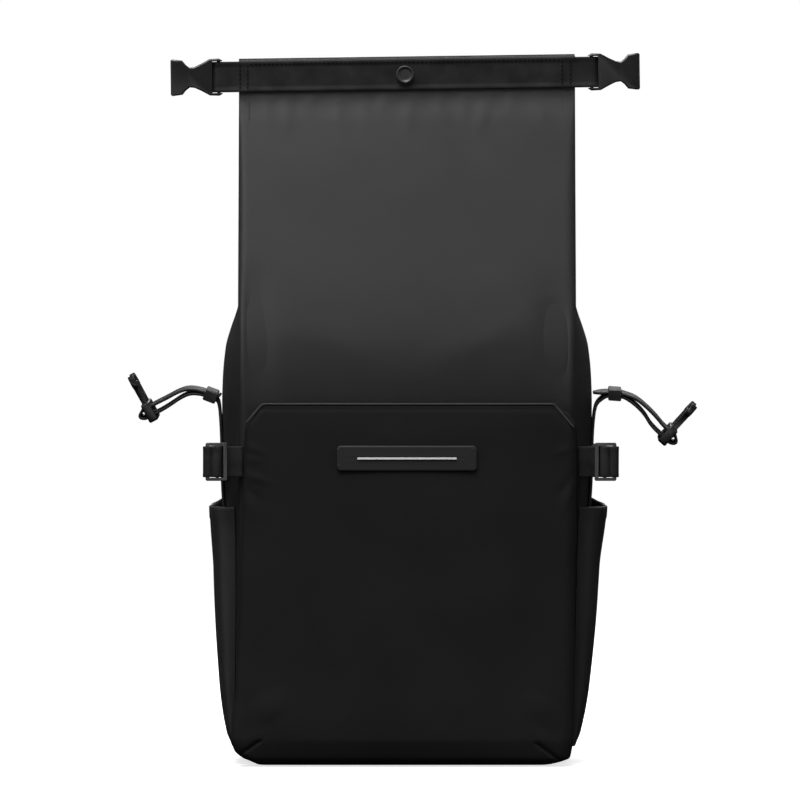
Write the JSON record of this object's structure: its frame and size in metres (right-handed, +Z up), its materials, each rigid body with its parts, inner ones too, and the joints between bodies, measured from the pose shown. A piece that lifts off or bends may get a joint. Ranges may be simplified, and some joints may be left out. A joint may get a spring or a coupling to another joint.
{
  "type": "rolltop backpack",
  "caption": "Unrolled rolltop backpack with front pocket, side pockets, buckled mouth band, side straps and padded shoulder straps, standing on its base.",
  "frame": {"origin": "on the floor, under the middle of the main sack's base", "axes": "+Z up, the front pocket faces -Y, +X to the right seen from the front"},
  "size_m": [0.4805, 0.1922, 0.5983],
  "materials": {
    "sack_cloth": "coated twill cloth, black, faint sheen",
    "panel_cloth": "smooth coated cloth over thin padding, deep black",
    "webbing": "flat woven webbing, black",
    "snap": "painted snap cap, satin black",
    "buckle_plastic": "moulded acetal, satin black",
    "label_rubber": "smooth rubberised patch, black",
    "pale_stripe": "thin pale reflective line",
    "padding_cloth": "spacer mesh over foam, black"
  },
  "bodies": {
    "root": {"sack": "sack_cloth", "front_pocket": "panel_cloth", "side_pocket_left": "sack_cloth", "side_pocket_right": "sack_cloth", "mouth_band": "webbing", "rear_hem": "webbing", "snap_cap": "snap", "buckle_body_left": "buckle_plastic", "buckle_body_right": "buckle_plastic", "label_patch": "label_rubber", "label_stripe": "pale_stripe", "side_strap_left": "webbing", "side_strap_right": "webbing", "side_slider_left": "buckle_plastic", "side_slider_right": "buckle_plastic", "roll_strap_left": "webbing", "roll_strap_right": "webbing", "roll_plug_left": "buckle_plastic", "roll_plug_right": "buckle_plastic", "strap_keeper_left": "webbing", "strap_keeper_right": "webbing", "back_panel": "padding_cloth", "shoulder_strap_left": "padding_cloth", "shoulder_strap_right": "padding_cloth", "lower_webbing_left": "webbing", "lower_webbing_right": "webbing", "strap_adjuster_left": "buckle_plastic", "strap_adjuster_right": "buckle_plastic", "grab_handle": "webbing"}
  },
  "joints": []
}
